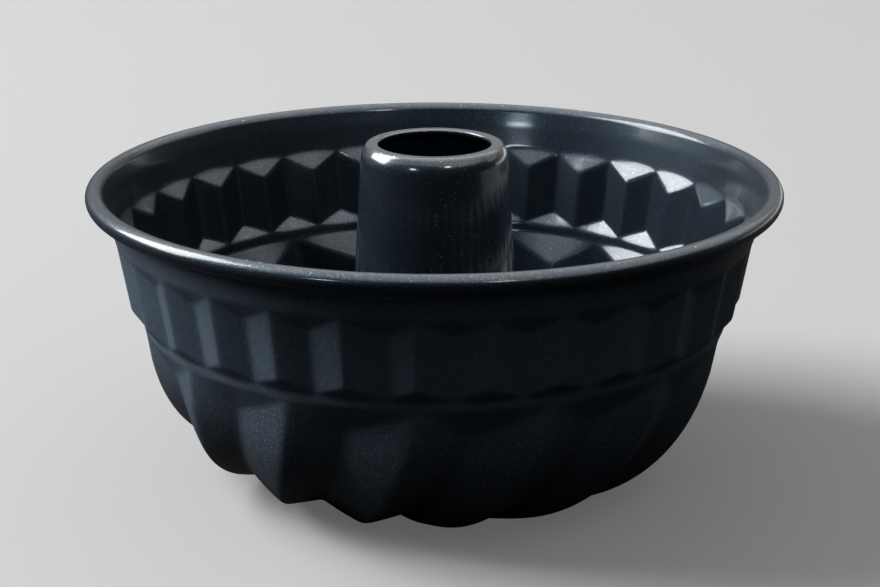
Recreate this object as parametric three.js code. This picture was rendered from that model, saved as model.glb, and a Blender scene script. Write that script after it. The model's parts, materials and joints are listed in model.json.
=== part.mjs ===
// A fluted tube pan: a deep-drawn steel cake mould with two tiers of flutes, a wired rim and a centre tube.
// Millimetres, +Z up. The pan stands on the table plane z = 0, and +Z is its axis.
import * as THREE from "three";

// Sheet, with its coating, and the gap between pieces that are pressed together
const SHEET = 0.7;
const CLEARANCE = 0.3;

// Rim: the sheet is curled outwards round a wire
const RIM_RADIUS = 111;
const WIRE_RADIUS = 1.9;
const CURL_START_DEG = 170;
const CURL_END_DEG = -140;
const COLLAR_DROP = 4;
const COLLAR_STEP = 0.6;

// Plain band under the rim
const BAND_HEIGHT = 8.3;
const BAND_TAPER = 1.9;

// Upper tier: upright flutes, each a ridge and a valley with straight faces between them and sloped ends
const UPPER_HEIGHT = 22.4;
const UPPER_TAPER = 3.7;
const UPPER_DEPTH = 3.1;
const UPPER_TOP_SLOPE = 4.9;
const UPPER_END_SLOPE = 3.4;

// Plain ring between the tiers
const RING_WIDTH = 2.8;
const RING_TAPER = 0.4;

// Lower tier: half as many flutes, wider and deeper, that swirl as they run in under the bottom
const LOWER_FLUTES = 15;
const LOWER_HEIGHT = 52.2;
const LOWER_DEPTH = 5;
const LOWER_TOP_SLOPE = 10;
const SWIRL_DEG = 27;
const SWIRL_POWER = 1.3;
const VALLEY_LAG_DEG = 1.2;
const FLANK_LEAN = 4.5;
const FLANK_SQUARENESS = 44.5;
const BELLY_REACH = 9.5;

// Feet, where the ridges of the lower flutes are flat, and the bottom between them and the tube
const FOOT_LENGTH = 8;
const FOOT_HALF_WIDTH_DEG = 2.6;
const RUNOUT_LENGTH = 10;
const SEAM_MARGIN = 1.7;
const SEAM_HEIGHT = 5;

// Centre tube, held by a pressed bead above the bottom and a flange below it
const TUBE_HEIGHT = 107.2;
const TUBE_TOP_RADIUS = 23.7;
const TUBE_FOOT_RADIUS = 29.5;
const TUBE_BEAD_REACH = 2.2;
const TUBE_FLANGE_REACH = 4.5;
const LIP_SHOULDER_RADIUS = 2.7;
const LIP_FLAT = 1;
const LIP_ROLL_RADIUS = 0.5;
const LIP_TAIL = 1;

// Angle of the first ridge from +X, and the number of steps in each round or curved stretch
const FIRST_RIDGE_DEG = 3.1;
const CURL_STEPS = 9;
const WIRE_SIDES = 10;
const FLANK_ROWS = 11;
const TUBE_SIDES = 40;
const LIP_SHOULDER_STEPS = 5;
const LIP_ROLL_STEPS = 2;

// Least height between a crease's point and the edge that it points to, so that no face there is a sliver
const CREASE_GAP = 0.9;

// Heights and radii worked out from the sizes above, from the table up and from the tube out
const RING_TOP_HEIGHT = LOWER_HEIGHT + RING_WIDTH;
const UPPER_END_HEIGHT = RING_TOP_HEIGHT + CREASE_GAP + UPPER_END_SLOPE;
const LEDGE_HEIGHT = UPPER_END_HEIGHT + UPPER_HEIGHT;
const COLLAR_HEIGHT = LEDGE_HEIGHT + BAND_HEIGHT;
const BEAD_HEIGHT = COLLAR_HEIGHT + COLLAR_DROP;
const BEAD_RADIUS = WIRE_RADIUS + CLEARANCE + SHEET;
const COLLAR_RADIUS = RIM_RADIUS - 2 * BEAD_RADIUS - COLLAR_STEP;
const LEDGE_RADIUS = COLLAR_RADIUS - BAND_TAPER;
const SEAM_EDGE_RADIUS = TUBE_FOOT_RADIUS + CLEARANCE;
const SEAM_RADIUS = SEAM_EDGE_RADIUS + TUBE_FLANGE_REACH + SEAM_MARGIN;
const FOOT_INNER_RADIUS = SEAM_RADIUS + RUNOUT_LENGTH;
const FOOT_OUTER_RADIUS = FOOT_INNER_RADIUS + FOOT_LENGTH;

// An upper flute has a ridge and a valley column. A lower flute is twice as wide, so it has four.
const COLUMNS_PER_LOWER_FLUTE = 4;
const COLUMNS = COLUMNS_PER_LOWER_FLUTE * LOWER_FLUTES;
const COLUMN_DEG = 360 / COLUMNS;

const radians = THREE.MathUtils.degToRad;
const mix = THREE.MathUtils.lerp;

const coating = new THREE.MeshStandardMaterial({ color: 0x23262d, metalness: 0.3, roughness: 0.35 });
const tubeCoating = new THREE.MeshStandardMaterial({ color: 0x262a31, metalness: 0.3, roughness: 0.35 });
const wireSteel = new THREE.MeshStandardMaterial({ color: 0x8c8f93, metalness: 1, roughness: 0.4 });

// A profile point is its radius and its height.
function point(radius, height) {
  return { radius, height };
}

function mixPoints(a, b, share) {
  return point(mix(a.radius, b.radius, share), mix(a.height, b.height, share));
}

function midpoint(a, b) {
  return mixPoints(a, b, 1 / 2);
}

function arc(centre, radius, fromDeg, toDeg, steps) {
  const points = [];
  for (let i = 0; i <= steps; i += 1) {
    const angle = radians(mix(fromDeg, toDeg, i / steps));
    points.push(point(centre.radius + radius * Math.cos(angle), centre.height + radius * Math.sin(angle)));
  }
  return points;
}

// A row runs once round the pan: a ridge point and a valley point of its tier's flutes, its turn in degrees, the
// way through the sheet (0 points inwards, 90 points up), and half the width of a flat ridge in degrees.
function row(tier, ridge, valley, options = {}) {
  const { turnDeg = 0, throughDeg = 0, flatDeg = 0 } = options;
  return { tier, ridge, valley, turnDeg, throughDeg, flatDeg };
}

function circle(at) {
  return row("upper", at, at);
}

// Where a column lies in its flute: its share of the way from ridge to valley, and its angle.
function placeColumn(column, line) {
  const columnDeg = column * COLUMN_DEG;
  if (line.tier === "upper") {
    return { share: column % 2, angleDeg: columnDeg };
  }
  const step = column % COLUMNS_PER_LOWER_FLUTE;
  const isFlank = step % 2 === 1;
  if (isFlank && line.flatDeg > 0) {
    // On a foot the flank columns close up on the ridge and lie level with it.
    const towardsRidge = step === 1 ? -1 : 1;
    return { share: 0, angleDeg: columnDeg + towardsRidge * (COLUMN_DEG - line.flatDeg) };
  }
  const stepsToValley = COLUMNS_PER_LOWER_FLUTE / 2;
  const share = 1 - Math.abs(step - stepsToValley) / stepsToValley;
  return { share, angleDeg: columnDeg - share * VALLEY_LAG_DEG };
}

function ringOfVertices(line, depthIntoSheet) {
  const vertices = [];
  const through = radians(line.throughDeg);
  for (let column = 0; column < COLUMNS; column += 1) {
    const { share, angleDeg } = placeColumn(column, line);
    const at = mixPoints(line.ridge, line.valley, share);
    const radius = at.radius - depthIntoSheet * Math.cos(through);
    const height = at.height + depthIntoSheet * Math.sin(through);
    const turned = radians(FIRST_RIDGE_DEG + angleDeg - line.turnDeg);
    vertices.push(radius * Math.cos(turned), radius * Math.sin(turned), height);
  }
  return vertices;
}

// Joins closed rows, the last back to the first, into one closed skin.
function skinOfRows(rings) {
  const indices = [];
  for (let r = 0; r < rings.length; r += 1) {
    const here = r * COLUMNS;
    const next = ((r + 1) % rings.length) * COLUMNS;
    for (let c = 0; c < COLUMNS; c += 1) {
      const d = (c + 1) % COLUMNS;
      indices.push(here + c, next + c, next + d);
      indices.push(here + c, next + d, here + d);
    }
  }
  const geometry = new THREE.BufferGeometry();
  geometry.setAttribute("position", new THREE.Float32BufferAttribute(rings.flat(), 3));
  geometry.setIndex(indices);
  geometry.computeVertexNormals();
  return geometry;
}

// Ridge line of the upper flutes, straight from the ledge down. The valley line runs beside it.
function upperRidge(height) {
  const share = (LEDGE_HEIGHT - height) / UPPER_HEIGHT;
  return point(LEDGE_RADIUS - UPPER_TAPER * share, height);
}

function upperValley(height) {
  return point(upperRidge(height).radius - UPPER_DEPTH, height);
}

function ringTop() {
  return upperValley(RING_TOP_HEIGHT);
}

function ringBottom() {
  return point(ringTop().radius - RING_TAPER, LOWER_HEIGHT);
}

// The band, the upper flutes with their sloped ends, and the plain ring, from the rim down.
function upperRows() {
  const firstValley = upperValley(LEDGE_HEIGHT - CREASE_GAP - UPPER_TOP_SLOPE);
  const lastValley = upperValley(UPPER_END_HEIGHT - UPPER_END_SLOPE);
  return [
    circle(point(COLLAR_RADIUS, COLLAR_HEIGHT)),
    circle(point(LEDGE_RADIUS, LEDGE_HEIGHT)),
    row("upper", upperRidge(LEDGE_HEIGHT - CREASE_GAP), firstValley),
    row("upper", upperRidge(UPPER_END_HEIGHT), lastValley),
    circle(ringTop()),
    circle(ringBottom()),
  ];
}

// Ridge of a lower flute: a curve from the ring, steep at first, that levels out at the foot.
function lowerRidgeCurve() {
  const start = point(ringBottom().radius, LOWER_HEIGHT - CREASE_GAP);
  return new THREE.CubicBezierCurve(
    new THREE.Vector2(start.radius, start.height),
    new THREE.Vector2(start.radius - FLANK_LEAN, start.height - FLANK_SQUARENESS),
    new THREE.Vector2(FOOT_OUTER_RADIUS + BELLY_REACH, 0),
    new THREE.Vector2(FOOT_OUTER_RADIUS, 0),
  );
}

// The share of a falling curve at which it reaches a height, found by halving.
function shareAtHeight(curve, height) {
  const halvings = 30;
  let above = 0;
  let below = 1;
  for (let i = 0; i < halvings; i += 1) {
    const middle = (above + below) / 2;
    if (curve.getPoint(middle).y > height) {
      above = middle;
    } else {
      below = middle;
    }
  }
  return below;
}

// One row of the lower flutes: the valley lies the flutes' depth behind the ridge, square to the ridge's curve.
function flankRow(curve, share, flatDeg) {
  const at = curve.getPoint(share);
  const along = curve.getTangent(share);
  const through = Math.atan2(-along.x, -along.y);
  const valley = point(at.x - LOWER_DEPTH * Math.cos(through), at.y + LOWER_DEPTH * Math.sin(through));
  return row("lower", point(at.x, at.y), valley, {
    turnDeg: SWIRL_DEG * share ** SWIRL_POWER,
    throughDeg: THREE.MathUtils.radToDeg(through),
    flatDeg,
  });
}

// The lower flutes from the ring to the outer edge of the feet.
function flankRows() {
  const curve = lowerRidgeCurve();
  const valleyTop = LOWER_HEIGHT - CREASE_GAP - LOWER_TOP_SLOPE;
  const crease = flankRow(curve, 0, 0);
  crease.valley = flankRow(curve, shareAtHeight(curve, valleyTop), 0).valley;
  const rows = [crease];
  const firstShare = shareAtHeight(curve, valleyTop - CREASE_GAP);
  for (let i = 0; i < FLANK_ROWS; i += 1) {
    const share = mix(firstShare, 1, i / (FLANK_ROWS - 1));
    const isFoot = i === FLANK_ROWS - 1;
    rows.push(flankRow(curve, share, isFoot ? FOOT_HALF_WIDTH_DEG : 0));
  }
  return rows;
}

// From the feet in to the seam round the tube. The flutes run out before the seam.
function bottomRows() {
  const level = { turnDeg: SWIRL_DEG, throughDeg: 90 };
  const footRidge = point(FOOT_INNER_RADIUS, 0);
  const footValley = point(FOOT_INNER_RADIUS, LOWER_DEPTH);
  const seam = point(SEAM_RADIUS, SEAM_HEIGHT);
  const seamEdge = point(SEAM_EDGE_RADIUS, SEAM_HEIGHT);
  return [
    row("lower", footRidge, footValley, { ...level, flatDeg: FOOT_HALF_WIDTH_DEG }),
    row("lower", midpoint(footRidge, seam), midpoint(footValley, seam), level),
    row("lower", seam, seam, level),
    row("lower", seamEdge, seamEdge, level),
  ];
}

function beadCentre() {
  return point(RIM_RADIUS - BEAD_RADIUS, BEAD_HEIGHT);
}

// Down the outside of the wall, back up its inside, over the curl and back along the curl's own inner face.
function makeBody() {
  const wall = [...upperRows(), ...flankRows(), ...bottomRows()];
  const outerWall = wall.map((line) => ringOfVertices(line, 0));
  const innerWall = wall.map((line) => ringOfVertices(line, SHEET)).reverse();
  const curlOutside = arc(beadCentre(), BEAD_RADIUS, CURL_START_DEG, CURL_END_DEG, CURL_STEPS);
  const curlInside = arc(beadCentre(), BEAD_RADIUS - SHEET, CURL_END_DEG, CURL_START_DEG, CURL_STEPS);
  const curl = [...curlOutside, ...curlInside].map((at) => ringOfVertices(circle(at), 0));
  const mesh = new THREE.Mesh(skinOfRows([...outerWall, ...innerWall, ...curl]), coating);
  mesh.name = "pan_body";
  return mesh;
}

// A closed section turned once about Z.
function lathe(section, sides) {
  const outline = section.map((at) => new THREE.Vector2(at.radius, at.height));
  outline.push(outline[0].clone());
  const geometry = new THREE.LatheGeometry(outline, sides);
  geometry.rotateX(Math.PI / 2);
  return geometry;
}

// A ring of round wire inside the curl, with its corners in line with the curl's.
function makeRimWire() {
  const section = arc(beadCentre(), WIRE_RADIUS, 0, 360, WIRE_SIDES).slice(0, -1);
  const mesh = new THREE.Mesh(lathe(section, COLUMNS), wireSteel);
  mesh.name = "rim_wire";
  mesh.rotation.z = radians(FIRST_RIDGE_DEG);
  return mesh;
}

function makeTube() {
  const beadLow = SEAM_HEIGHT + SHEET + CLEARANCE;
  const beadHigh = beadLow + 2 * SHEET;
  const flangeHigh = SEAM_HEIGHT - CLEARANCE;
  const flangeLow = flangeHigh - SHEET;
  const shoulderRadius = LIP_SHOULDER_RADIUS + SHEET;
  const rollRadius = LIP_ROLL_RADIUS + SHEET;
  const shoulder = point(TUBE_TOP_RADIUS - shoulderRadius, TUBE_HEIGHT - shoulderRadius);
  const roll = point(shoulder.radius - LIP_FLAT, TUBE_HEIGHT - rollRadius);
  const lipEnd = roll.height - LIP_TAIL;
  const section = [
    // Outside, from the flange below the sheet up to the lip
    point(TUBE_FOOT_RADIUS + TUBE_FLANGE_REACH, flangeLow),
    point(TUBE_FOOT_RADIUS + TUBE_FLANGE_REACH, flangeHigh),
    point(TUBE_FOOT_RADIUS, flangeHigh),
    point(TUBE_FOOT_RADIUS, beadLow),
    point(TUBE_FOOT_RADIUS + TUBE_BEAD_REACH, beadLow),
    point(TUBE_FOOT_RADIUS + TUBE_BEAD_REACH, beadHigh),
    point(TUBE_FOOT_RADIUS, beadHigh + SHEET),
    ...arc(shoulder, shoulderRadius, 0, 90, LIP_SHOULDER_STEPS),
    ...arc(roll, rollRadius, 90, 180, LIP_ROLL_STEPS),
    point(roll.radius - rollRadius, lipEnd),
    // Back down the inside
    point(roll.radius - LIP_ROLL_RADIUS, lipEnd),
    ...arc(roll, LIP_ROLL_RADIUS, 180, 90, LIP_ROLL_STEPS),
    ...arc(shoulder, LIP_SHOULDER_RADIUS, 90, 0, LIP_SHOULDER_STEPS),
    point(TUBE_FOOT_RADIUS - SHEET, beadHigh + SHEET),
    point(TUBE_FOOT_RADIUS - SHEET, flangeLow),
  ];
  const mesh = new THREE.Mesh(lathe(section, TUBE_SIDES), tubeCoating);
  mesh.name = "centre_tube";
  return mesh;
}

const pan = new THREE.Group();
pan.name = "fluted_tube_pan";
pan.add(makeBody(), makeTube(), makeRimWire());

export default pan;
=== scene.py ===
# %% [markdown]
# # A fluted tube pan
#
# The pan is a cake mould pressed from sheet steel: a round bowl with two tiers of flutes, an open tube in
# the middle and a rim that is rolled round a wire. The CAD model holds the sizes and the solids. This lesson
# dresses it: it rebuilds the two sheets as fine rounded surfaces, coats them, and lights them softly.

# %% Load the CAD model
import json
import math

import bpy
import numpy as np
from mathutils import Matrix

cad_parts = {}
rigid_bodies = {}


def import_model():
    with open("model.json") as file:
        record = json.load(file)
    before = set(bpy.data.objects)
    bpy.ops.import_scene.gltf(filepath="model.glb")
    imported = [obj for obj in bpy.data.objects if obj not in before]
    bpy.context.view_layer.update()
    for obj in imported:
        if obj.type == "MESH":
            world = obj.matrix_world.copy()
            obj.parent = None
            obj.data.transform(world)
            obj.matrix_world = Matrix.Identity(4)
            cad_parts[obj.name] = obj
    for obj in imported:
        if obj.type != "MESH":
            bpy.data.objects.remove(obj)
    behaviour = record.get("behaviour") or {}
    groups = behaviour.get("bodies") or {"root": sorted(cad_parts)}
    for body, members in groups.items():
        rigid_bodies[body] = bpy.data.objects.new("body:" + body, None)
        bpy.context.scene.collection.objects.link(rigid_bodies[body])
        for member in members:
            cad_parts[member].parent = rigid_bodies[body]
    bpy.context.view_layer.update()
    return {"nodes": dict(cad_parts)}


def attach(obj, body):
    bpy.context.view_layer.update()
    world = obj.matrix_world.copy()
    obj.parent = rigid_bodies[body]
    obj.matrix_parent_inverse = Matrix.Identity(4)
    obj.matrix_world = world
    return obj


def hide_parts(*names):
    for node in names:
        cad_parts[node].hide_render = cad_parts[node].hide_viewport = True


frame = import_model()
print("CAD nodes:", ", ".join(sorted(frame["nodes"])))

# %% [markdown]
# ## The camera
#
# The photograph was taken from in front and a little above. A pinhole camera was fitted to the rim and the
# tube, and its distance, its angles in radians and its focal length are the values here. Blender wants the
# focal length in millimetres of a 36 mm wide sensor, so a length in pixels is scaled by the sensor's width
# over the picture's width.

# %% Camera
MM = 0.001
PICTURE_WIDTH = 880
FOCAL_PIXELS = 1850
SENSOR_WIDTH = 36
TARGET_HEIGHT = 94 * MM
CAMERA_DISTANCE = 597.7 * MM
CAMERA_RAISE = 0.255
EXTRA_TILT = 0.060
TURN_RIGHT = 0.003

camera_data = bpy.data.cameras.new("camera")
camera_data.sensor_fit = "HORIZONTAL"
camera_data.sensor_width = SENSOR_WIDTH
camera_data.lens = SENSOR_WIDTH * FOCAL_PIXELS / PICTURE_WIDTH
camera = bpy.data.objects.new("camera", camera_data)
camera.location = (
    0,
    -CAMERA_DISTANCE * math.cos(CAMERA_RAISE),
    TARGET_HEIGHT + CAMERA_DISTANCE * math.sin(CAMERA_RAISE),
)
camera.rotation_euler = (math.pi / 2 - CAMERA_RAISE - EXTRA_TILT, 0, -TURN_RIGHT)
bpy.context.scene.collection.objects.link(camera)
bpy.context.scene.camera = camera
print("camera at", [round(x, 3) for x in camera.location], "lens", round(camera_data.lens, 1), "mm")

# %% [markdown]
# ## Sizes of the drawn sheet
#
# The sizes repeat those of the CAD model, in metres. From the rim down, the wall is a plain band, thirty
# upright flutes, a plain ring, and fifteen flutes that swirl as they run in under the bottom.

# %% Sizes
SHEET = 0.7 * MM
RIM_RADIUS = 111 * MM
BEAD_RADIUS = 2.9 * MM
BEAD_HEIGHT = 94 * MM
CURL_START = math.radians(170)
CURL_END = math.radians(-140)
COLLAR_RADIUS = 104.6 * MM
COLLAR_HEIGHT = 90 * MM
LEDGE_RADIUS = 102.7 * MM
LEDGE_HEIGHT = 81.7 * MM
CREASE_GAP = 0.9 * MM

UPPER_END_HEIGHT = 59.3 * MM
UPPER_TAPER = 3.7 * MM
UPPER_DEPTH = 3.1 * MM
UPPER_TOP_SLOPE = 4.9 * MM
UPPER_END_SLOPE = 3.4 * MM
RING_TOP_HEIGHT = 55 * MM
RING_WIDTH = 2.8 * MM
RING_TAPER = 0.4 * MM

LOWER_FLUTES = 15
LOWER_DEPTH = 5 * MM
LOWER_TOP_SLOPE = 10 * MM
SWIRL = math.radians(27)
SWIRL_POWER = 1.3
VALLEY_LAG = math.radians(1.2)
FLANK_LEAN = 4.5 * MM
FLANK_SQUARENESS = 44.5 * MM
BELLY_REACH = 9.5 * MM

FOOT_OUTER_RADIUS = 54 * MM
FOOT_INNER_RADIUS = 46 * MM
FOOT_HALF_WIDTH = math.radians(2.6)
SEAM_RADIUS = 36 * MM
SEAM_EDGE_RADIUS = 29.8 * MM
SEAM_HEIGHT = 5 * MM
FIRST_RIDGE = math.radians(3.1)
print("rim", 2 * RIM_RADIUS / MM, "mm across, rim top at", (BEAD_HEIGHT + BEAD_RADIUS) / MM, "mm")

# %% [markdown]
# ## Columns that gather at the creases
#
# A grid of points is laid over the sheet: columns run from the rim to the tube, and rows run round. A crease
# needs many points and a flat face needs few, so the columns are bunched at each ridge and each valley of
# the upper flutes. A lower flute is exactly two upper ones wide, so its ridge and its valley lie on such a
# bunch too.

# %% Columns
COLUMNS_PER_FACE = 7
BUNCHING = 0.72
UPPER_FACES = 4 * LOWER_FLUTES
FACE_ANGLE = 2 * math.pi / UPPER_FACES


def column_places():
    """Places round the pan, counted in upper flute faces: f less a sine of f, slow at whole numbers."""
    step = np.arange(COLUMNS_PER_FACE) / COLUMNS_PER_FACE
    bunched = step - BUNCHING * np.sin(2 * np.pi * step) / (2 * np.pi)
    return (np.arange(UPPER_FACES)[:, None] + bunched).ravel()


PLACES = column_places()
COLUMNS = len(PLACES)
print(COLUMNS, "columns round the pan")

# %% [markdown]
# ## Rounded waves
#
# In a drawn sheet no fold is sharp. Each flute is a zigzag wave, 0 on its ridge and 1 in its valley, whose
# points are replaced by short parabolas. On the feet the ridge is flat, because the pan stands there.

# %% Waves
UPPER_ROUNDING = 0.10
LOWER_ROUNDING = 0.10
FOOT_ROUNDING = 0.10


def zigzag(places, faces_per_side):
    """A wave of straight lines: 0 at a ridge, 1 after that many faces, and 0 again after as many more."""
    return np.abs((places / faces_per_side + 1) % 2 - 1)


def blunt(wave, reach):
    """Near 0 the wave w becomes (w * w + reach * reach) / (2 * reach), and near 1 the same upside down."""
    low = np.where(wave < reach, (wave**2 + reach**2) / (2 * reach), wave)
    high = 1 - low
    return 1 - np.where(high < reach, (high**2 + reach**2) / (2 * reach), high)


def flat_topped(wave, flat, reach):
    """0 up to flat, then a straight rise to 1, with a parabola over the bend and another over the far end."""
    past = np.clip(wave - flat + reach, 0, None)
    rise = np.where(wave < flat + reach, past**2 / (4 * reach), wave - flat) / (1 - flat)
    high = 1 - rise
    return 1 - np.where(high < reach, (high**2 + reach**2) / (2 * reach), high)


upper_wave = blunt(zigzag(PLACES, 1), UPPER_ROUNDING)
lower_line = zigzag(PLACES, 2)
lower_wave = blunt(lower_line, LOWER_ROUNDING)
foot_wave = flat_topped(lower_line, FOOT_HALF_WIDTH / (2 * FACE_ANGLE), FOOT_ROUNDING)
print("upper wave", upper_wave.min().round(3), "to", upper_wave.max().round(3))

# %% [markdown]
# ## Rows of the wall
#
# A row is an array with one radius, one height and one turn for each column. Where the wall bends from one
# row's slope to the next, the corner is rounded by a quadratic curve. It could be left to a Bevel modifier,
# but a bevel would round every edge alike, and here each fold has its own radius.

# %% Rows and rounded corners
CORNER_STEPS = 6
LONGEST_SHARE = 0.45


def row(radius, height, turn=0.0):
    """One row of the grid: radius, height and turn for each column."""
    parts = np.broadcast_arrays(radius, height, turn, np.zeros(COLUMNS))
    return np.stack(parts[:3], axis=-1)


def across(ridge, valley, wave):
    """A row that swings between a ridge point and a valley point as the wave does."""
    return row(ridge[0] + (valley[0] - ridge[0]) * wave, ridge[1] + (valley[1] - ridge[1]) * wave)


def rounded_corner(before, corner, after, reach, steps=CORNER_STEPS):
    """A quadratic curve from reach before the corner to reach after it, or less where a side is short."""
    sides = []
    for other in (before, after):
        away = other - corner
        length = np.hypot(away[..., 0], away[..., 1])
        sides.append(corner + away * np.minimum(LONGEST_SHARE, reach / length)[..., None])
    t = np.linspace(0, 1, steps).reshape((-1,) + (1,) * corner.ndim)
    return (1 - t) ** 2 * sides[0] + 2 * t * (1 - t) * corner + t**2 * sides[1]


def straight(start, end, steps):
    """Rows in a straight line between two rows, without either of them."""
    t = (np.arange(1, steps + 1) / (steps + 1)).reshape(-1, 1, 1)
    return start + (end - start) * t


print("each fold is rounded in", CORNER_STEPS, "rows")

# %% [markdown]
# ## The wall's main rows
#
# The upper ridges and valleys are straight lines, so their sloped ends are where those lines stop. Between a
# circle and a zigzag row lie the triangles that catch the light inside the pan.

# %% Upper tier
def upper_ridge(height):
    """The ridge leans in evenly from the ledge to the end of the flutes."""
    share = (LEDGE_HEIGHT - height) / (LEDGE_HEIGHT - UPPER_END_HEIGHT)
    return LEDGE_RADIUS - UPPER_TAPER * share, height


def upper_valley(height):
    """The valley runs beside the ridge, the flutes' depth further in."""
    return upper_ridge(height)[0] - UPPER_DEPTH, height


collar = row(COLLAR_RADIUS, COLLAR_HEIGHT)
ledge = row(LEDGE_RADIUS, LEDGE_HEIGHT)
flute_top = across(
    upper_ridge(LEDGE_HEIGHT - CREASE_GAP),
    upper_valley(LEDGE_HEIGHT - CREASE_GAP - UPPER_TOP_SLOPE),
    upper_wave,
)
flute_end = across(
    upper_ridge(UPPER_END_HEIGHT),
    upper_valley(UPPER_END_HEIGHT - UPPER_END_SLOPE),
    upper_wave,
)
ring_radius = upper_valley(RING_TOP_HEIGHT)[0]
ring_top = row(ring_radius, RING_TOP_HEIGHT)
ring_bottom = row(ring_radius - RING_TAPER, RING_TOP_HEIGHT - RING_WIDTH)
print("ring between the tiers at radius", round(ring_radius / MM, 2), "mm")

# %% [markdown]
# ## The swirled flank
#
# A lower ridge follows a Bezier curve that starts steep at the ring and ends level on the foot. Its valley
# lies a fixed depth behind it, square to the curve. Each point is also turned about the axis, more and more
# towards the bottom, which makes the swirl. A Simple Deform modifier could twist the wall too, but it twists
# evenly with height, and here the turn follows the curve.

# %% Lower tier
FLANK_TOP = np.array([ring_radius - RING_TAPER, RING_TOP_HEIGHT - RING_WIDTH - CREASE_GAP])
FLANK_CONTROLS = np.array([
    FLANK_TOP,
    FLANK_TOP - [FLANK_LEAN, FLANK_SQUARENESS],
    [FOOT_OUTER_RADIUS + BELLY_REACH, 0],
    [FOOT_OUTER_RADIUS, 0],
])
FLANK_SAMPLES = 2000
FOOT_BLEND_START = 0.72
FOOT_BLEND_END = 0.97


def flank_curve(s):
    """The ridge's cubic Bezier curve at s, and the unit direction square to it, into the pan."""
    s = s[..., None]
    p0, p1, p2, p3 = FLANK_CONTROLS
    at = (1 - s) ** 3 * p0 + 3 * s * (1 - s) ** 2 * p1 + 3 * s**2 * (1 - s) * p2 + s**3 * p3
    along = (1 - s) ** 2 * (p1 - p0) + 2 * s * (1 - s) * (p2 - p1) + s**2 * (p3 - p2)
    inward = np.stack([along[..., 1], -along[..., 0]], axis=-1)
    return at, inward / np.linalg.norm(inward, axis=-1, keepdims=True)


def smooth_step(low, high, x):
    """0 below low, 1 above high, and 3tt - 2ttt between them."""
    t = np.clip((x - low) / (high - low), 0, 1)
    return t * t * (3 - 2 * t)


def flank(s):
    """Flank rows at s: the ridge's curve, moved in by the wave times the depth, turned by s to a power."""
    at, inward = flank_curve(s)
    foot = smooth_step(FOOT_BLEND_START, FOOT_BLEND_END, s)
    wave = lower_wave * (1 - foot) + foot_wave * foot
    at = at + inward * (LOWER_DEPTH * wave)[..., None]
    turn = SWIRL * s**SWIRL_POWER + VALLEY_LAG * lower_wave
    return np.concatenate([at, turn[..., None]], axis=-1)


samples = np.linspace(0, 1, FLANK_SAMPLES)
sample_heights = flank_curve(samples)[0][:, 1]
valley_start = np.interp(FLANK_TOP[1] - LOWER_TOP_SLOPE, sample_heights[::-1], samples[::-1])
flank_start = valley_start * lower_wave
print("a lower valley starts", round(float(valley_start), 3), "of the way down its curve")

# %% [markdown]
# ## Feet, bottom and curl
#
# The flank ends on the feet, which are level. From there the flutes fade out towards the seam round the
# tube. At the other end the sheet's back runs round the inside of the rim's curl.

# %% Feet, bottom and curl
FLANK_ROWS = 27
FOOT_ROWS = 4
RUNOUT_ROWS = 9
CURL_ROWS = 26
SEAM_ROWS = 3


def bottom(radius, fade):
    """Level rows: the foot's wave times the depth, raised to the seam's height as the flutes fade."""
    height = LOWER_DEPTH * foot_wave * (1 - fade) + SEAM_HEIGHT * fade
    return row(radius, height, SWIRL + VALLEY_LAG * lower_wave)


def stacked(rows):
    """Rows of one kind as one array."""
    return np.array(list(rows))


flank_shares = np.linspace(0, 1, FLANK_ROWS + 1)[1:, None]
flank_rows = flank(flank_start + (1 - flank_start) * flank_shares)
foot_radii = np.linspace(FOOT_OUTER_RADIUS, FOOT_INNER_RADIUS, FOOT_ROWS + 1)[1:]
foot_rows = stacked(bottom(radius, 0) for radius in foot_radii)
fade_places = np.linspace(0, 1, RUNOUT_ROWS + 1)[1:]
runout_rows = stacked(
    bottom(FOOT_INNER_RADIUS + (SEAM_RADIUS - FOOT_INNER_RADIUS) * f, smooth_step(0, 1, f))
    for f in fade_places
)
seam_radii = np.linspace(SEAM_RADIUS, SEAM_EDGE_RADIUS, SEAM_ROWS + 1)[1:]
seam_rows = stacked(bottom(radius, 1) for radius in seam_radii)
curl_inside = BEAD_RADIUS - SHEET
curl_rows = stacked(
    row(RIM_RADIUS - BEAD_RADIUS + curl_inside * math.cos(a), BEAD_HEIGHT + curl_inside * math.sin(a))
    for a in np.linspace(CURL_END, CURL_START, CURL_ROWS)
)
print(len(curl_rows), "curl rows,", len(flank_rows), "flank rows")

# %% [markdown]
# ## One sheet, two skins
#
# All rows together are the sheet's back: inside the curl, down the outside and in to the seam. Its normals
# point away from the cake, so the face, which touches the cake, lies one sheet's thickness against them. The
# normals come from the grid itself: the cross product of the step to the next row and the step to the next
# column. Solidify would do the same, but the arrays are at hand, and with them it stays known which point is
# on which skin.

# %% The sheet's back
BAND_FOLD = 1.6 * MM
LEDGE_FOLD = 1.5 * MM
CREASE_FOLD = 1.1 * MM
RING_FOLD = 1.0 * MM
FLANK_FOLD = 1.6 * MM
FLUTE_ROWS = 5

flank_top_row = flank(flank_start)
top_crease = rounded_corner(ledge, flute_top, flute_end, CREASE_FOLD)
end_crease = rounded_corner(flute_top, flute_end, ring_top, CREASE_FOLD)
back_rows = np.concatenate([
    curl_rows,
    rounded_corner(curl_rows[-1], collar, ledge, BAND_FOLD),
    rounded_corner(collar, ledge, flute_top, LEDGE_FOLD),
    top_crease,
    straight(top_crease[-1], end_crease[0], FLUTE_ROWS),
    end_crease,
    rounded_corner(flute_end, ring_top, ring_bottom, RING_FOLD),
    rounded_corner(ring_top, ring_bottom, flank_top_row, RING_FOLD),
    rounded_corner(ring_bottom, flank_top_row, flank_rows[1], FLANK_FOLD),
    flank_rows[1:],
    foot_rows,
    runout_rows,
    seam_rows,
])
print("the sheet's back has", back_rows.shape[0], "rows and", back_rows.shape[1], "columns")


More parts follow.
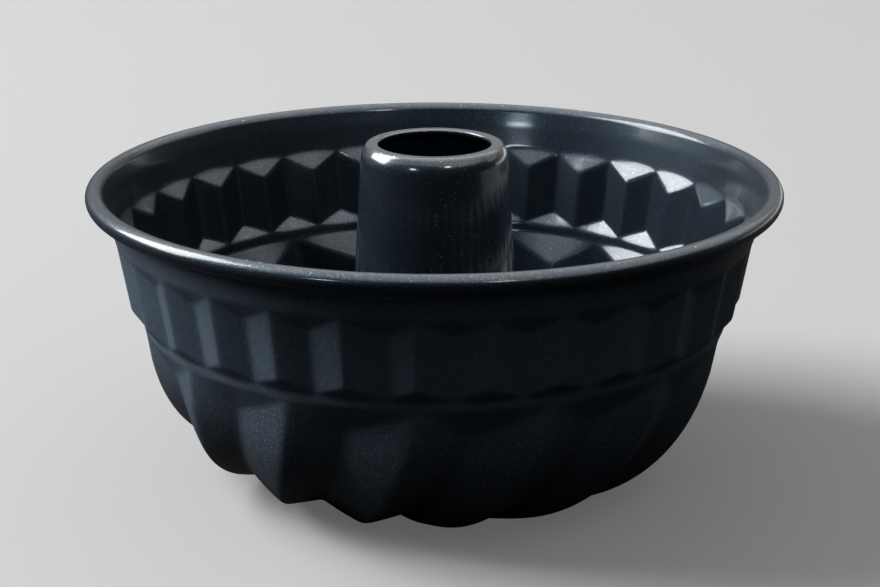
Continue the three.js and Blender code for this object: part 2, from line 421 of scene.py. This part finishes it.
# %% The sheet's face
def to_space(rows, places):
    """Radius, height and turn to x, y and z, with each column at its own angle."""
    angle = FIRST_RIDGE + places * FACE_ANGLE - rows[..., 2]
    return np.stack([rows[..., 0] * np.cos(angle), rows[..., 0] * np.sin(angle), rows[..., 1]], axis=-1)


def grid_normals(grid):
    """Unit normals of a grid that closes round its columns: the row step crossed with the column step."""
    down = np.gradient(grid, axis=0)
    round_about = np.roll(grid, -1, axis=1) - np.roll(grid, 1, axis=1)
    normal = np.cross(down, round_about)
    return normal / np.linalg.norm(normal, axis=-1, keepdims=True)


back = to_space(back_rows, PLACES)
face = back - SHEET * grid_normals(back)
print("the face reaches up to", round(face[..., 2].max() / MM, 2), "mm")

# %% [markdown]
# ## From grid to mesh
#
# The back and the reversed face follow each other as rows, and the last row joins the first, so the sheet is
# one closed skin with no border. Blender takes such arrays in one go with foreach_set, which is far quicker
# than a loop over vertices.

# %% Make the pan's body
SHARP_ANGLE = math.radians(55)


def closed_skin(name, grid):
    """A mesh of four-sided faces whose rows and columns both close on themselves, with normals outwards."""
    rows, columns = grid.shape[:2]
    index = np.arange(rows * columns).reshape(rows, columns)
    below = np.roll(index, -1, axis=0)
    corners = np.stack([index, below, np.roll(below, -1, axis=1), np.roll(index, -1, axis=1)], axis=-1)
    mesh = bpy.data.meshes.new(name)
    mesh.vertices.add(index.size)
    mesh.vertices.foreach_set("co", grid.astype(np.float32).ravel())
    mesh.loops.add(corners.size)
    mesh.loops.foreach_set("vertex_index", corners.astype(np.int32).ravel())
    mesh.polygons.add(index.size)
    mesh.polygons.foreach_set("loop_start", np.arange(0, corners.size, 4, dtype=np.int32))
    mesh.polygons.foreach_set("use_smooth", np.ones(index.size, dtype=bool))
    mesh.update(calc_edges=True)
    mesh.validate()
    mesh.set_sharp_from_angle(angle=SHARP_ANGLE)
    piece = bpy.data.objects.new(name, mesh)
    bpy.context.scene.collection.objects.link(piece)
    return piece


pan_body = closed_skin("drawn_body", np.concatenate([back, face[::-1]]))
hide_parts("pan_body")
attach(pan_body, "root")
print("drawn body:", 2 * len(pan_body.data.polygons), "triangles")

# %% [markdown]
# ## Where the film is matt
#
# Inside, where the cake has to come off, the coating is glossy. Outside it looks more matt, with flutes that
# are darker near the bottom. That darkness is painted shade: the matt share falls towards the bottom, so the
# outer film is painted darker and glossier there. A film that gets thinner and glossier there is a guess that
# gives this look. Two materials would need a border between them. One number for each vertex, kept in the
# mesh as an attribute, lets a single material change from skin to skin and with height.

# %% Mark the matt skin
SHADED_BOTTOM_MATT = 0.35
FULL_SHADE_HEIGHT = 18 * MM
NO_SHADE_HEIGHT = 56 * MM

# Painted shade: towards the bottom the outer matt share falls, which darkens the outer film's colour.
unshaded_share = smooth_step(FULL_SHADE_HEIGHT, NO_SHADE_HEIGHT, back[..., 2])
back_matt = SHADED_BOTTOM_MATT + (1 - SHADED_BOTTOM_MATT) * unshaded_share
matt_values = np.concatenate([back_matt, np.zeros_like(back_matt)])
matt_places = pan_body.data.attributes.new("matt", "FLOAT", "POINT")
matt_places.data.foreach_set("value", matt_values.astype(np.float32).ravel())
print("matt outside from", round(back_matt.min(), 2), "to", round(back_matt.max(), 2))

# %% [markdown]
# ## The centre tube
#
# The tube is a second sheet, turned like a pot: its section is drawn once and carried round the axis. From
# the flange under the bottom it passes up through the seam, bulges over the bottom in a pressed bead, tapers
# to a shoulder, and folds in at the lip. A Screw modifier could turn the section too, but the function that
# closes the body's skin is there already. Every corner has its own rounding, or fold.

# %% Sizes of the tube
TUBE_HEIGHT = 107.2 * MM
HOLE_RADIUS = 18.1 * MM
LIP_RING_RADIUS = 21.9 * MM
TUBE_TOP_RADIUS = 23.7 * MM
SHOULDER_HEIGHT = 103.9 * MM
LIP_TAIL = 1.5 * MM
TUBE_FOOT_RADIUS = 29.5 * MM
FLANGE_RADIUS = 34 * MM
FLANGE_TOP = 4.7 * MM
BEAD_LOW = 6 * MM
BEAD_HIGH = 7.4 * MM
BEAD_RUNOUT = 8.1 * MM
FOOT_BEAD_RADIUS = 31.7 * MM

TIGHT_FOLD = 0.3 * MM
BEAD_FOLD = 0.6 * MM
RUNOUT_FOLD = 0.8 * MM
SHOULDER_FOLD = 2.0 * MM
LIP_FOLD = 1.0 * MM
MOUTH_FOLD = 1.1 * MM
INNER_MOUTH_FOLD = 0.5 * MM
INNER_LIP_FOLD = 0.4 * MM
INNER_SHOULDER_FOLD = 1.6 * MM
print("tube", TUBE_HEIGHT / MM, "mm high, hole", 2 * HOLE_RADIUS / MM, "mm across")

# %% Make the tube
TUBE_COLUMNS = 144
TUBE_CORNER_STEPS = 9

tube_corners = np.array([
    # Outside, from the flange up: radius, height and fold
    (FLANGE_RADIUS, FLANGE_TOP - SHEET, TIGHT_FOLD),
    (FLANGE_RADIUS, FLANGE_TOP, TIGHT_FOLD),
    (TUBE_FOOT_RADIUS, FLANGE_TOP, TIGHT_FOLD),
    (TUBE_FOOT_RADIUS, BEAD_LOW, TIGHT_FOLD),
    (FOOT_BEAD_RADIUS, BEAD_LOW, BEAD_FOLD),
    (FOOT_BEAD_RADIUS, BEAD_HIGH, BEAD_FOLD),
    (TUBE_FOOT_RADIUS, BEAD_RUNOUT, RUNOUT_FOLD),
    (TUBE_TOP_RADIUS, SHOULDER_HEIGHT, SHOULDER_FOLD),
    (LIP_RING_RADIUS, TUBE_HEIGHT, LIP_FOLD),
    (HOLE_RADIUS, TUBE_HEIGHT, MOUTH_FOLD),
    (HOLE_RADIUS, TUBE_HEIGHT - LIP_TAIL, TIGHT_FOLD),
    # Back down the inside
    (HOLE_RADIUS + SHEET, TUBE_HEIGHT - LIP_TAIL, TIGHT_FOLD),
    (HOLE_RADIUS + SHEET, TUBE_HEIGHT - SHEET, INNER_MOUTH_FOLD),
    (LIP_RING_RADIUS - SHEET / 2, TUBE_HEIGHT - SHEET, INNER_LIP_FOLD),
    (TUBE_TOP_RADIUS - SHEET, SHOULDER_HEIGHT - SHEET / 2, INNER_SHOULDER_FOLD),
    (TUBE_FOOT_RADIUS - SHEET, BEAD_RUNOUT, RUNOUT_FOLD),
    (TUBE_FOOT_RADIUS - SHEET, FLANGE_TOP - SHEET, TIGHT_FOLD),
])


def rounded_section(corners):
    """A closed outline with each corner rounded by its own reach."""
    points = corners[:, :2]
    before, after = np.roll(points, 1, axis=0), np.roll(points, -1, axis=0)
    curves = rounded_corner(before, points, after, corners[:, 2], TUBE_CORNER_STEPS)
    return curves.transpose(1, 0, 2).reshape(-1, 2)


def turned(section, columns):
    """A section of radius and height, carried once round the axis."""
    angle = np.linspace(0, 2 * np.pi, columns, endpoint=False)
    radius, height = section[:, :1], section[:, 1:]
    return np.stack([radius * np.cos(angle), radius * np.sin(angle), height + 0 * angle], axis=-1)


tube_section = rounded_section(tube_corners)
centre_tube = closed_skin("turned_tube", turned(tube_section, TUBE_COLUMNS)[::-1])
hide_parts("centre_tube")
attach(centre_tube, "root")
print("turned tube:", 2 * len(centre_tube.data.polygons), "triangles")

# %% [markdown]
# ## Helpers for nodes
#
# A material is a tree of nodes, and a group is a small tree with named sockets that several materials can
# place. The first helpers make trees and groups and set their sockets. The others make one node each and
# hand back what comes out of it, so that a finish reads like a short recipe.

# %% Trees and groups
def new_group(name, inputs, outputs):
    """An empty shader node group. Inputs and outputs map a socket's name to its kind."""
    group = bpy.data.node_groups.new(name, "ShaderNodeTree")
    for direction, sockets in (("INPUT", inputs), ("OUTPUT", outputs)):
        for label, kind in sockets.items():
            group.interface.new_socket(label, in_out=direction, socket_type="NodeSocket" + kind)
    return group, group.nodes.new("NodeGroupInput"), group.nodes.new("NodeGroupOutput")


def set_socket(tree, node, label, value):
    """Links a socket to another node's output, or sets its value. A number picks the socket by its place."""
    sockets = {socket.name: socket for socket in reversed(node.inputs) if socket.enabled}
    socket = node.inputs[label] if isinstance(label, int) else sockets[label]
    if isinstance(value, bpy.types.NodeSocket):
        tree.links.new(value, socket)
    else:
        socket.default_value = value


def place_group(tree, group, **values):
    """A group node in a material, with its inputs set or linked."""
    node = tree.nodes.new("ShaderNodeGroup")
    node.node_tree = group
    for label, value in values.items():
        set_socket(tree, node, label, value)
    return node


def new_material(name):
    """A node material, with its tree and its Principled shader."""
    material = bpy.data.materials.new(name)
    material.use_nodes = True
    tree = material.node_tree
    return material, tree, tree.nodes["Principled BSDF"]


# %% Single nodes
def add_node(tree, kind, settings=None, **values):
    """A node with its settings, and with each named socket set to a value or linked from another socket."""
    node = tree.nodes.new("ShaderNode" + kind)
    for key, value in (settings or {}).items():
        setattr(node, key, value)
    for label, value in values.items():
        set_socket(tree, node, label.replace("_", " "), value)
    return node


def math_node(tree, operation, first, second):
    """The output of a Math node."""
    node = add_node(tree, "Math", {"operation": operation})
    set_socket(tree, node, 0, first)
    set_socket(tree, node, 1, second)
    return node.outputs[0]


def vector_node(tree, operation, first, second=(0, 0, 0)):
    """The vector output of a Vector Math node."""
    node = add_node(tree, "VectorMath", {"operation": operation})
    set_socket(tree, node, 0, first)
    set_socket(tree, node, "Scale" if operation == "SCALE" else 1, second)
    return node.outputs[0]


def even_range(tree, share, low, high):
    """A Map Range node's output: low where the share is 0, high where it is 1, and evenly between them."""
    return add_node(tree, "MapRange", Value=share, To_Min=low, To_Max=high).outputs["Result"]


def smooth_range(tree, value, span, low, high):
    """A Map Range node's output: a smooth step from low to high as the value crosses the span."""
    smooth = {"interpolation_type": "SMOOTHSTEP"}
    start, end = span
    node = add_node(
        tree, "MapRange", smooth, Value=value, From_Min=start, From_Max=end, To_Min=low, To_Max=high
    )
    return node.outputs["Result"]


def mix_colours(tree, factor, first, second):
    """A Mix node's colour: the first where the factor is 0, the second where it is 1."""
    node = add_node(tree, "Mix", {"data_type": "RGBA"}, Factor=factor, A=first, B=second)
    return node.outputs["Result"]


# %% [markdown]
# ## Orange peel
#
# The coating is sprayed on and baked, so its surface is faintly uneven, like the skin of an orange. It is far
# too fine to model, so two noises make a height for a Bump node. As a group, it serves the body and the tube.

# %% Orange peel
FINER_PEEL = 3.7
FINER_PEEL_HEIGHT = 0.6


def make_orange_peel():
    """Height of a sprayed film: a soft noise, and a finer and weaker one on top of it."""
    group, given, result = new_group(
        "orange_peel", {"Vector": "Vector", "Scale": "Float"}, {"Height": "Float"}
    )
    where, scale = given.outputs["Vector"], given.outputs["Scale"]
    broad = add_node(group, "TexNoise", Vector=where, Scale=scale, Detail=2.0).outputs[0]
    fine_scale = math_node(group, "MULTIPLY", scale, FINER_PEEL)
    fine = add_node(group, "TexNoise", Vector=where, Scale=fine_scale, Detail=1.0).outputs[0]
    fine_height = math_node(group, "MULTIPLY", fine, FINER_PEEL_HEIGHT)
    set_socket(group, result, "Height", math_node(group, "ADD", broad, fine_height))
    return group


orange_peel = make_orange_peel()
print("group:", orange_peel.name)

# %% [markdown]
# ## Mica flecks
#
# The film holds tiny flakes of mica that lie at random angles and glint where they happen to face a light.
# Thousands of small meshes could be strewn for them, but a Voronoi pattern gives the same glints: each cell
# has a random colour, which says whether the cell is a flake and which way it leans.

# %% Mica flecks
FLECK_REACH = 0.42
MIDDLE_GREY = (0.5, 0.5, 0.5)


def make_mica_flecks():
    """A mask of the few cells that are flecks, and the normal, leaning by the cell's colour less a grey."""
    group, given, result = new_group(
        "mica_flecks",
        {"Vector": "Vector", "Normal": "Vector", "Scale": "Float", "Share": "Float", "Tilt": "Float"},
        {"Mask": "Float", "Normal": "Vector"},
    )
    cells = add_node(group, "TexVoronoi", Vector=given.outputs["Vector"], Scale=given.outputs["Scale"])
    shade = add_node(group, "SeparateColor", Color=cells.outputs["Color"])
    picked = math_node(group, "LESS_THAN", shade.outputs["Blue"], given.outputs["Share"])
    near = math_node(group, "LESS_THAN", cells.outputs["Distance"], FLECK_REACH)
    mask = math_node(group, "MULTIPLY", picked, near)
    centred = vector_node(group, "SUBTRACT", cells.outputs["Color"], MIDDLE_GREY)
    strength = math_node(group, "MULTIPLY", mask, given.outputs["Tilt"])
    lean = vector_node(group, "SCALE", centred, strength)
    tilted = vector_node(group, "ADD", given.outputs["Normal"], lean)
    set_socket(group, result, "Mask", mask)
    set_socket(group, result, "Normal", vector_node(group, "NORMALIZE", tilted))
    return group


mica_flecks = make_mica_flecks()
print("group:", mica_flecks.name)

# %% [markdown]
# ## The non-stick coating
#
# The coating is a blue-black film under a thin glaze. Inside it is almost black, and what is seen there is
# gloss. Outside it is a little paler and has less glaze, so that it takes light evenly, but near the
# bottom its colour is painted darker, as painted shade. Two sizes of flecks lie in it: a fine grain, dull
# outside and bright inside, and rare glints, which are small mirrors. The colour and the roughness drift a
# little, as those of a sprayed film do.

# %% Values of the coating
PEEL_SCALE = 900.0
PEEL_STRENGTH = 0.35
PEEL_DEPTH = 0.2 * MM
DRIFT_SCALE = 45.0
FILM_DEEP = (0.0003, 0.0006, 0.0010, 1)
FILM_LIGHT = (0.0006, 0.0010, 0.0017, 1)
FILM_ROUGHNESS = (0.37, 0.43)
FILM_REFLECTION = 0.17
FILM_TINT = (0.45, 0.75, 1.0, 1)
OUTER_DEEP = (0.0062, 0.0088, 0.0120, 1)
OUTER_LIGHT = (0.0080, 0.0110, 0.0146, 1)
BODY_GLAZE = 0.48
TUBE_GLAZE = 0.9
OUTER_GLAZE = 0.2
GLAZE_ROUGHNESS = 0.14
GRAIN_SCALE = 3400.0
GRAIN_SHARE = 0.16
GRAIN_TILT = 0.22
GRAIN_COLOUR = (0.085, 0.092, 0.10, 1)
OUTER_GRAIN = (0.026, 0.032, 0.038, 1)
GLINT_SCALE = 2600.0
BODY_GLINT_SHARE = 0.0025
TUBE_GLINT_SHARE = 0.015
GLINT_TILT = 1.0
GLINT_COLOUR = (0.50, 0.52, 0.54, 1)
FLECK_ROUGHNESS = 0.3
print("glints on the tube:", TUBE_GLINT_SHARE / BODY_GLINT_SHARE, "times as many as on the body")


# %% Coating
def place_flecks(tree, where, normal, scale, share, tilt):
    """Mica flecks of one size in a material: their mask and the leaning normal."""
    flecks = place_group(tree, mica_flecks, Vector=where, Normal=normal, Scale=scale, Share=share, Tilt=tilt)
    return flecks.outputs["Mask"], flecks.outputs["Normal"]


def coating_colour(tree, drift, matt, grain, glints):
    """The film's drifting colour, inside or outside, with the grain over it and the glints over both."""
    inner = mix_colours(tree, drift, FILM_DEEP, FILM_LIGHT)
    outer = mix_colours(tree, drift, OUTER_DEEP, OUTER_LIGHT)
    # The matt share also carries the painted shade that darkens the outside near the bottom.
    film = mix_colours(tree, matt, inner, outer)
    grain_colour = mix_colours(tree, matt, GRAIN_COLOUR, OUTER_GRAIN)
    grained = mix_colours(tree, grain, film, grain_colour)
    return mix_colours(tree, glints, grained, GLINT_COLOUR)


def make_coating(name, glaze, glint_share):
    """A film with orange peel, grain and glints. Flecks are metal, apart from the grain on the matt skin."""
    material, tree, shader = new_material(name)
    where = add_node(tree, "TexCoord").outputs["Object"]
    matt = add_node(tree, "Attribute", {"attribute_name": "matt"}).outputs["Fac"]
    drift = add_node(tree, "TexNoise", Vector=where, Scale=DRIFT_SCALE, Detail=4.0).outputs[0]
    peel = place_group(tree, orange_peel, Vector=where, Scale=PEEL_SCALE).outputs["Height"]
    bump = add_node(tree, "Bump", Strength=PEEL_STRENGTH, Distance=PEEL_DEPTH, Height=peel)
    grain, grainy = place_flecks(
        tree, where, bump.outputs["Normal"], GRAIN_SCALE, GRAIN_SHARE, GRAIN_TILT
    )
    glints, glinting = place_flecks(tree, where, grainy, GLINT_SCALE, glint_share, GLINT_TILT)
    bright_grain = math_node(tree, "MULTIPLY", grain, math_node(tree, "SUBTRACT", 1.0, matt))
    metal = math_node(tree, "MAXIMUM", bright_grain, glints)
    roughness = even_range(tree, drift, *FILM_ROUGHNESS)
    smoother = add_node(tree, "Mix", Factor=metal, A=roughness, B=FLECK_ROUGHNESS).outputs["Result"]
    set_socket(tree, shader, "Base Color", coating_colour(tree, drift, matt, grain, glints))
    set_socket(tree, shader, "Roughness", smoother)
    set_socket(tree, shader, "Metallic", metal)
    set_socket(tree, shader, "Normal", glinting)
    set_socket(tree, shader, "Specular IOR Level", FILM_REFLECTION)
    set_socket(tree, shader, "Specular Tint", FILM_TINT)
    set_socket(tree, shader, "Coat Weight", even_range(tree, matt, glaze, OUTER_GLAZE))
    set_socket(tree, shader, "Coat Roughness", GLAZE_ROUGHNESS)
    return material


# %% Coat the body and the tube
body_coating = make_coating("body_coating", BODY_GLAZE, BODY_GLINT_SHARE)
tube_coating = make_coating("tube_coating", TUBE_GLAZE, TUBE_GLINT_SHARE)
pan_body.data.materials.append(body_coating)
centre_tube.data.materials.append(tube_coating)
print("coatings:", body_coating.name, "and", tube_coating.name)

# %% [markdown]
# ## The wire in the rim
#
# The wire hides in the curl, and only a thin line of it shows from below. Its CAD shape is right, so it
# stays, and only its finish changes: plain drawn steel with fine lines along its length. The wire is a level
# ring, so a noise that is squeezed in height and left long elsewhere gives such lines.

# %% Wire
LINE_SQUEEZE = (60, 60, 9000)
STEEL_DARK = (0.34, 0.34, 0.35, 1)
STEEL_LIGHT = (0.52, 0.52, 0.53, 1)
STEEL_ROUGHNESS = (0.28, 0.5)


def make_drawn_steel():
    """Steel whose colour and roughness follow lines of noise that run round the rim."""
    material, tree, shader = new_material("drawn_steel")
    where = add_node(tree, "TexCoord").outputs["Object"]
    squeezed = vector_node(tree, "MULTIPLY", where, LINE_SQUEEZE)
    lines = add_node(tree, "TexNoise", Vector=squeezed, Scale=1.0, Detail=3.0).outputs[0]
    set_socket(tree, shader, "Base Color", mix_colours(tree, lines, STEEL_DARK, STEEL_LIGHT))
    set_socket(tree, shader, "Roughness", even_range(tree, lines, *STEEL_ROUGHNESS))
    set_socket(tree, shader, "Metallic", 1.0)
    return material


wire_mesh = frame["nodes"]["rim_wire"].data
wire_mesh.materials.clear()
wire_mesh.materials.append(make_drawn_steel())
print("wire finish:", wire_mesh.materials[0].name)

# %% [markdown]
# ## Floor
#
# The floor is plain and pale. A pale floor would mirror itself in the glossy wall and wash it out, as it
# does in a studio, where black cards are held against that. The Light Path node does the work of the cards:
# only the camera sees the floor pale, with a weak glow that softens the shadow on it, and every other ray
# finds it dark.

# %% Floor
FLOOR_HALF = 6.0
FLOOR_PALE = (0.040, 0.040, 0.040, 1)
FLOOR_DARK = (0.002, 0.002, 0.002, 1)
FLOOR_GLOW = 0.10
FLOOR_ROUGHNESS = 0.9
FLOOR_REFLECTION = 0.1
WHITE = (1, 1, 1, 1)


def make_floor_finish():
    """Pale for the camera, with a glow that softens the shadow on it, and dark for all other rays."""
    material, tree, shader = new_material("floor")
    direct = add_node(tree, "LightPath").outputs["Is Camera Ray"]
    set_socket(tree, shader, "Base Color", mix_colours(tree, direct, FLOOR_DARK, FLOOR_PALE))
    set_socket(tree, shader, "Emission Strength", math_node(tree, "MULTIPLY", direct, FLOOR_GLOW))
    set_socket(tree, shader, "Emission Color", WHITE)
    set_socket(tree, shader, "Roughness", FLOOR_ROUGHNESS)
    set_socket(tree, shader, "Specular IOR Level", FLOOR_REFLECTION)
    return material


floor_mesh = bpy.data.meshes.new("floor")
floor_sides = ((-1, -1), (1, -1), (1, 1), (-1, 1))
floor_corners = [(x * FLOOR_HALF, y * FLOOR_HALF, 0) for x, y in floor_sides]
floor_mesh.from_pydata(floor_corners, [], [(0, 1, 2, 3)])
floor_mesh.materials.append(make_floor_finish())
floor = bpy.data.objects.new("floor", floor_mesh)
bpy.context.scene.collection.objects.link(floor)
print("floor", 2 * FLOOR_HALF, "m wide")

# %% [markdown]
# ## Lights
#
# The photograph's light seems to come from a window on the left. An area light stands for it, and a larger
# one further away, in nearly the same direction, adds daylight. Glossy reflections don't see the daylight,
# so it brightens little but the matt outside and the floor. Two small lamps make the short highlights on the
# tube and inside the rim. Two pale cards on the right light the triangles at the left, inside, and the right
# of the rim and of the tube's lip. An area light's brightness is its power over its area and over pi, so the
# power is worked out from the brightness.

# %% Values of the lights
PAN_MIDDLE = (0, 0, 0.06)
PANEL_DISTANCE = 1.6
LAMP_SIZE = (0.18, 0.1)
LAMP_BLUE = (0.72, 0.88, 1.0)
PLAIN_WHITE = (1, 1, 1)
# Azimuth and elevation are in degrees, sizes and distances in metres
PANELS = {
    "window": {"azimuth": -77, "elevation": 35, "size": (1.0, 1.1), "brightness": 21.5},
    "daylight": {"azimuth": -76, "elevation": 36, "size": (6.2, 6.8), "brightness": 130, "distance": 10},
    "lamp": {"azimuth": -146, "elevation": 19, "size": LAMP_SIZE, "brightness": 60, "colour": LAMP_BLUE},
    "second_lamp": {"azimuth": 158, "elevation": 33, "size": LAMP_SIZE, "brightness": 50},
    "right_card": {"azimuth": 60, "elevation": 24, "size": (1.3, 0.42), "brightness": 1.15},
    "right_strip": {"azimuth": 48, "elevation": 1.5, "size": (1.4, 0.18), "brightness": 1.8},
}
print(len(PANELS), "lights to set up")


# %% Set up the lights
def direction_to(azimuth, elevation):
    """A unit vector: azimuth 0 points away from the camera and turns to the right, elevation is upwards."""
    level = math.cos(elevation)
    return np.array([math.sin(azimuth) * level, math.cos(azimuth) * level, math.sin(elevation)])


def add_panel(name, azimuth, elevation, size, brightness, distance=PANEL_DISTANCE, colour=PLAIN_WHITE):
    """A rectangular light that faces the pan. The camera doesn't see it."""
    turn, rise = math.radians(azimuth), math.radians(elevation)
    light = bpy.data.lights.new(name, "AREA")
    light.shape = "RECTANGLE"
    light.size, light.size_y = size
    light.energy = brightness * math.pi * size[0] * size[1]
    light.color = colour
    panel = bpy.data.objects.new(name, light)
    panel.location = np.array(PAN_MIDDLE) + direction_to(turn, rise) * distance
    panel.rotation_euler = (math.pi / 2 - rise, 0, math.pi - turn)
    panel.visible_camera = False
    bpy.context.scene.collection.objects.link(panel)
    return panel


panels = {name: add_panel(name, **values) for name, values in PANELS.items()}
panels["daylight"].visible_glossy = False
print("powers:", {name: round(panel.data.energy, 1) for name, panel in panels.items()}, "W")

# %% [markdown]
# ## The room
#
# The rest of the room lights the pan softly and shows in its gloss: a bright ceiling, walls that brighten
# upwards, and a dim far side. Real walls could be built, but a sky that depends on the direction costs no
# faces. Directions are unit vectors, so each span below is a range of one coordinate, from -1 to 1: x to the
# right, y away from the camera and z up.

# %% Values of the room
WALL_SPAN = (0.38, 0.60)
WALL_BRIGHTNESS = (0.05, 2.1)
CEILING_SPAN = (0.6, 1.0)
CEILING_BRIGHTNESS = 2.4
FAR_SPAN = (0.3, 0.85)
FAR_BRIGHTNESS = 0.45
FAR_RISE_SPAN = (0.05, 0.16)
FAR_LOW_SHARE = 0.2
RIGHT_SPAN = (0.3, 0.75)
RIGHT_BRIGHTNESS = 0.6
RIGHT_RISE_SPAN = (0.36, 0.5)
NEAR_SPAN = (-0.75, -0.2)
NEAR_LIFT = 0.13
NEAR_RIGHT_SPAN = (0.1, 0.5)
ROOM_TINT = (0.96, 0.98, 1.0, 1)
BACKDROP = 0.7
print("ceiling", CEILING_BRIGHTNESS + WALL_BRIGHTNESS[1], "bright, far side", FAR_BRIGHTNESS)


# %% Room
def far_and_right(tree, sideways, away, up):
    """The far side and the right side of the room: each fades in towards its side and upwards."""
    far_side = smooth_range(tree, away, FAR_SPAN, 0.0, FAR_BRIGHTNESS)
    far_rise = smooth_range(tree, up, FAR_RISE_SPAN, FAR_LOW_SHARE, 1.0)
    right_side = smooth_range(tree, sideways, RIGHT_SPAN, 0.0, RIGHT_BRIGHTNESS)
    right_rise = smooth_range(tree, up, RIGHT_RISE_SPAN, 0.0, 1.0)
    far_wall = math_node(tree, "MULTIPLY", far_side, far_rise)
    right_wall = math_node(tree, "MULTIPLY", right_side, right_rise)
    return math_node(tree, "ADD", far_wall, right_wall)


def walls_and_ceiling(tree, sideways, away, up):
    """Walls that brighten upwards, the near ones higher up except at the right, and a ceiling."""
    near_side = smooth_range(tree, away, NEAR_SPAN, NEAR_LIFT, 0.0)
    not_right = smooth_range(tree, sideways, NEAR_RIGHT_SPAN, 1.0, 0.0)
    lift = math_node(tree, "MULTIPLY", near_side, not_right)
    walls = smooth_range(tree, math_node(tree, "SUBTRACT", up, lift), WALL_SPAN, *WALL_BRIGHTNESS)
    ceiling = smooth_range(tree, up, CEILING_SPAN, 0.0, CEILING_BRIGHTNESS)
    return math_node(tree, "ADD", walls, ceiling)


def make_room():
    """A sky for all rays but the camera's, which finds an even backdrop."""
    world = bpy.data.worlds.new("room")
    world.use_nodes = True
    tree = world.node_tree
    shader = tree.nodes["Background"]
    way = add_node(tree, "SeparateXYZ", Vector=add_node(tree, "TexCoord").outputs["Generated"]).outputs
    sides = far_and_right(tree, way["X"], way["Y"], way["Z"])
    above = walls_and_ceiling(tree, way["X"], way["Y"], way["Z"])
    brightness = math_node(tree, "ADD", sides, above)
    direct = add_node(tree, "LightPath").outputs["Is Camera Ray"]
    seen = add_node(tree, "Mix", Factor=direct, A=brightness, B=BACKDROP)
    set_socket(tree, shader, "Color", ROOM_TINT)
    set_socket(tree, shader, "Strength", seen.outputs["Result"])
    return world


bpy.context.scene.world = make_room()
bpy.context.scene.view_settings.view_transform = "Standard"
print("world:", bpy.context.scene.world.name)
